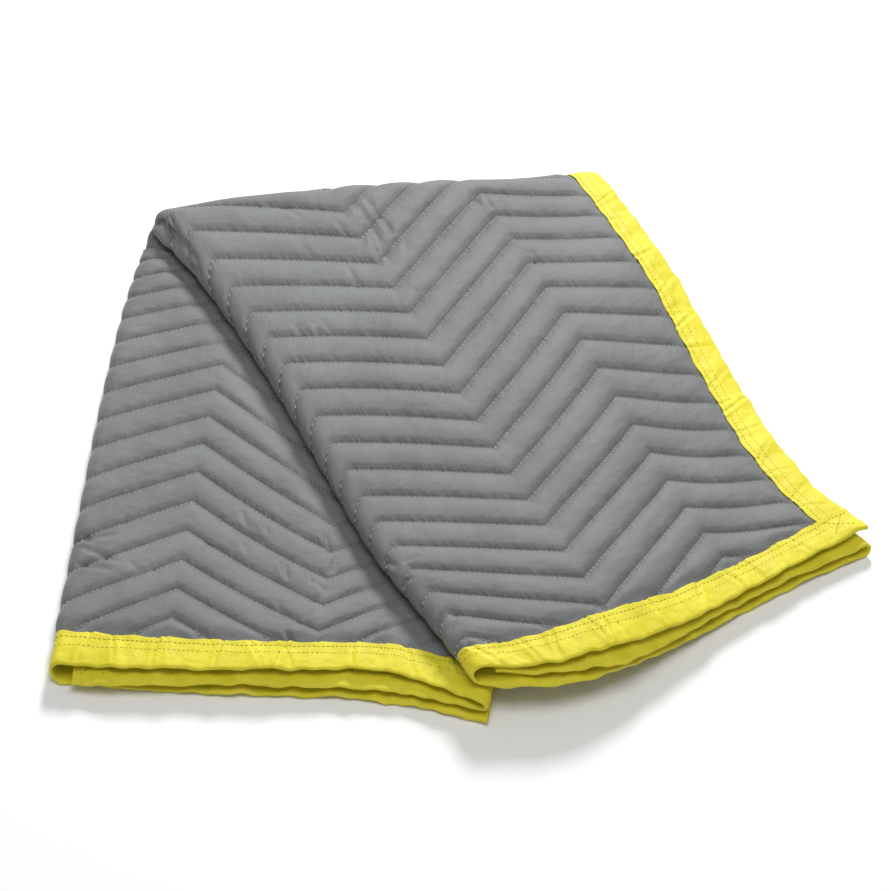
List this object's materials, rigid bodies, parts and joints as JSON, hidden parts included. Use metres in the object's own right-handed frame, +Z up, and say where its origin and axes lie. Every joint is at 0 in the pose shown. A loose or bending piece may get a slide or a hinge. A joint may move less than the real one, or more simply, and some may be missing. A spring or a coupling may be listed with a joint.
{
  "type": "moving pad",
  "caption": "Quilted moving pad with taped edges, folded in thirds and then in half into a skewed stack that lies flat.",
  "frame": {"origin": "centre of the folded pad's bounding box, on the floor it lies on", "axes": "+X towards the free side hem at the viewer's right, +Y back towards the fold, +Z up"},
  "size_m": [1.0788, 1.0126, 0.0812],
  "materials": {
    "quilted_cloth": "grey woven polyester with a soft satin sheen, quilted over padding",
    "binding_tape": "bright yellow woven tape, matt with a slight sheen"
  },
  "bodies": {
    "root": {"quilted_panel": "quilted_cloth", "upper_end_binding": "binding_tape", "lower_end_binding": "binding_tape", "outer_side_binding": "binding_tape", "inner_side_binding": "binding_tape"}
  },
  "joints": []
}
